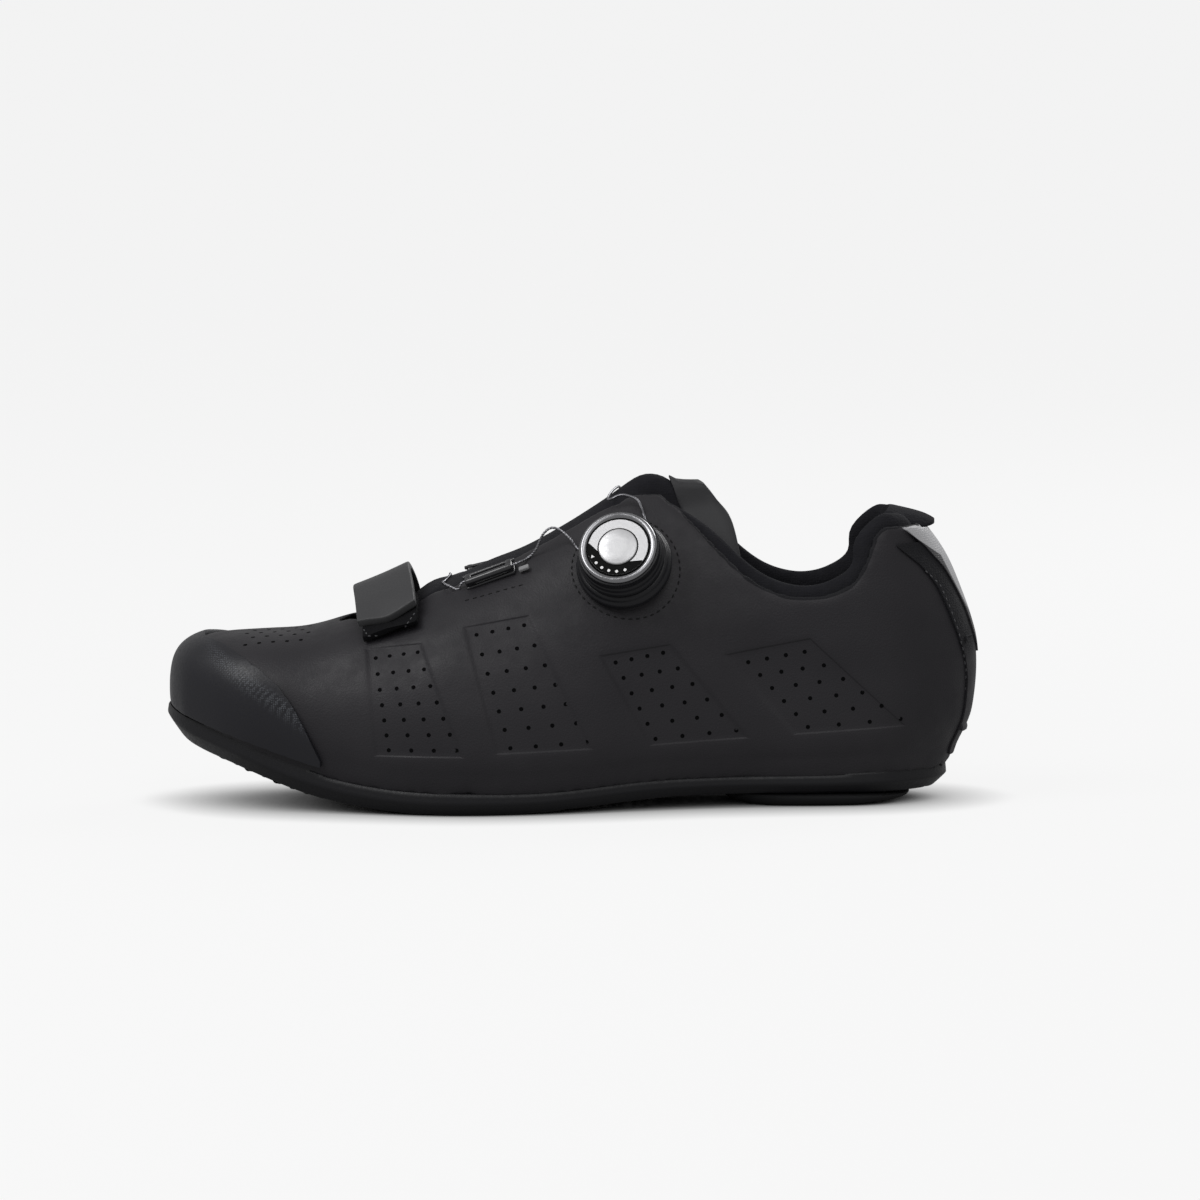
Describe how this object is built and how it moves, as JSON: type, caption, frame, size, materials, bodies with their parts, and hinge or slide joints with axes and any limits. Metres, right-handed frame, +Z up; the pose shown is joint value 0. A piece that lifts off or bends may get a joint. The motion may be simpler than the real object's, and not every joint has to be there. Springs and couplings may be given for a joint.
{
  "type": "cycling shoe",
  "caption": "Charcoal road cycling shoe for the left foot, with a lace dial, a strap, perforated panels and a stiff moulded sole.",
  "frame": {"origin": "middle of the cleat seat, the flat of the sole under the ball of the foot, at floor level", "axes": "+X from toe to heel, -Y towards the outer side of the foot, +Z up"},
  "size_m": [0.2797, 0.0969, 0.1136],
  "materials": {
    "upper_shell": "matte charcoal microfibre with a fine leather grain",
    "sole": "satin black moulded sole",
    "rubber": "matte black rubber",
    "cap": "semi-gloss blue-black moulded sheet, finely ribbed",
    "textile": "black padded knit",
    "reflective": "grey reflective woven sheet",
    "strap_sheet": "matte dark grey coated sheet, stitched edge",
    "plastic": "satin black moulded plastic",
    "dial_face": "satin silver with darker rings",
    "lace": "bare twisted steel wire"
  },
  "bodies": {
    "root": {"upper": "upper_shell", "outsole": "sole", "insole": "textile", "heel_pad": "rubber", "toe_pad": "rubber", "toe_cap": "cap", "heel_counter": "upper_shell", "heel_patch": "reflective", "collar_roll": "textile", "tongue": "textile", "tongue_flap": "strap_sheet", "strap": "strap_sheet", "loop_patch": "textile", "dial_base": "plastic", "dial_knob": "plastic", "dial_face": "dial_face", "guide_outer": "plastic", "guide_inner_front": "plastic", "guide_inner_rear": "plastic", "lace_front": "lace", "lace_side": "lace", "lace_inner": "lace", "lace_rear": "lace"}
  },
  "joints": []
}
